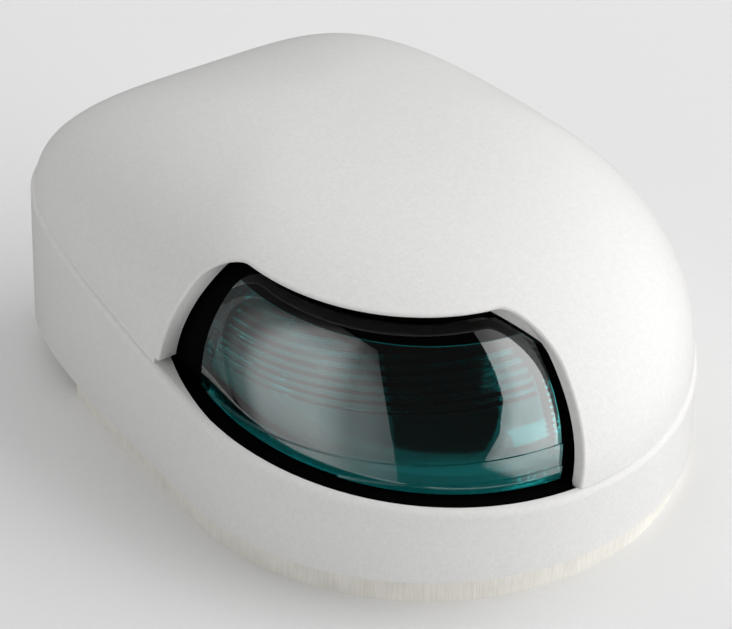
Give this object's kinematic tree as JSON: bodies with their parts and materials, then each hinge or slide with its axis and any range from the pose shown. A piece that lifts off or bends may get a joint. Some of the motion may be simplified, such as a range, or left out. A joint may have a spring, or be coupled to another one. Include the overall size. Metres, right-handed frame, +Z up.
{
  "type": "navigation sidelight",
  "caption": "Deck-mounted starboard sidelight: white domed housing on a gasket, green lens behind a window in the nose, lift-off cover over a tubular bulb.",
  "frame": {"origin": "centre of the bounding box's underside, on the deck under the gasket", "axes": "+Z up from the deck, nose of the housing (dead ahead) towards -Y, lit starboard sector towards -X"},
  "size_m": [0.086, 0.112, 0.0493],
  "materials": {
    "white_abs": "fine moulded grain, satin",
    "gasket_foam": "cream, finely ribbed edge",
    "seal_rubber": "matt",
    "black_screen": "matt black",
    "green_lens": "clear moulded polycarbonate, glossy",
    "stainless": "bright turned stainless",
    "nylon": "natural nylon",
    "bulb_glass": "clear glass",
    "bulb_metal": "plated caps",
    "tungsten": "drawn wire",
    "contact_brass": "stamped strip",
    "holder_plastic": "moulded, heat resistant"
  },
  "bodies": {
    "base": {"deck_gasket": "gasket_foam", "base_housing": "white_abs", "cover_seal": "seal_rubber", "lamp_house": "black_screen", "lens": "green_lens", "lens_seal": "seal_rubber", "cover_nut": "stainless", "bulb_holder": "holder_plastic", "contact_lower": "contact_brass", "contact_upper": "contact_brass", "contact_rivets": "contact_brass", "terminal_inserts": "contact_brass", "fixing_screws": "stainless", "cable_grommet": "seal_rubber"},
    "cover": {"cover": "white_abs"},
    "screw_washer": {"cover_screw_washer": "nylon"},
    "cover_screw": {"cover_screw": "stainless"},
    "bulb": {"bulb_glass": "bulb_glass", "bulb_filament": "tungsten", "bulb_cap_lower": "bulb_metal", "bulb_cap_upper": "bulb_metal"},
    "clamp_positive": {"terminal_clamp_positive": "stainless"},
    "screw_positive": {"terminal_screw_positive": "contact_brass"},
    "clamp_negative": {"terminal_clamp_negative": "stainless"},
    "screw_negative": {"terminal_screw_negative": "contact_brass"}
  },
  "joints": [
    {"name": "cover_lift", "type": "slide", "parent": "base", "child": "cover", "axis": [0, 0, 1], "range_m": [0, 0.06]},
    {"name": "bulb_pull", "type": "slide", "parent": "base", "child": "bulb", "axis": [1, 0, 0], "range_m": [0, 0.014]},
    {"name": "cover_screw_out", "type": "slide", "parent": "base", "child": "screw_washer", "axis": [0, 1, 0], "range_m": [0, 0.0021]},
    {"name": "cover_screw_turn", "type": "hinge", "parent": "screw_washer", "child": "cover_screw", "pos_m": [0, 0.054, 0.015], "axis": [0, -1, 0], "range_deg": [0, 1080]},
    {"name": "terminal_positive_rise", "type": "slide", "parent": "base", "child": "clamp_positive", "axis": [0, 0, 1], "range_m": [0, 0.0015]},
    {"name": "terminal_positive_turn", "type": "hinge", "parent": "clamp_positive", "child": "screw_positive", "pos_m": [0.013, -0.0114, 0.0115], "axis": [0, 0, 1], "range_deg": [0, 1080]},
    {"name": "terminal_negative_rise", "type": "slide", "parent": "base", "child": "clamp_negative", "axis": [0, 0, 1], "range_m": [0, 0.0015]},
    {"name": "terminal_negative_turn", "type": "hinge", "parent": "clamp_negative", "child": "screw_negative", "pos_m": [0.02, -0.005, 0.0115], "axis": [0, 0, 1], "range_deg": [0, 1080]}
  ],
  "couplings": [
    {"joint": "cover_screw_turn", "follows": "cover_screw_out", "rad_per_m": 8976},
    {"joint": "terminal_positive_turn", "follows": "terminal_positive_rise", "rad_per_m": 12566},
    {"joint": "terminal_negative_turn", "follows": "terminal_negative_rise", "rad_per_m": 12566}
  ]
}
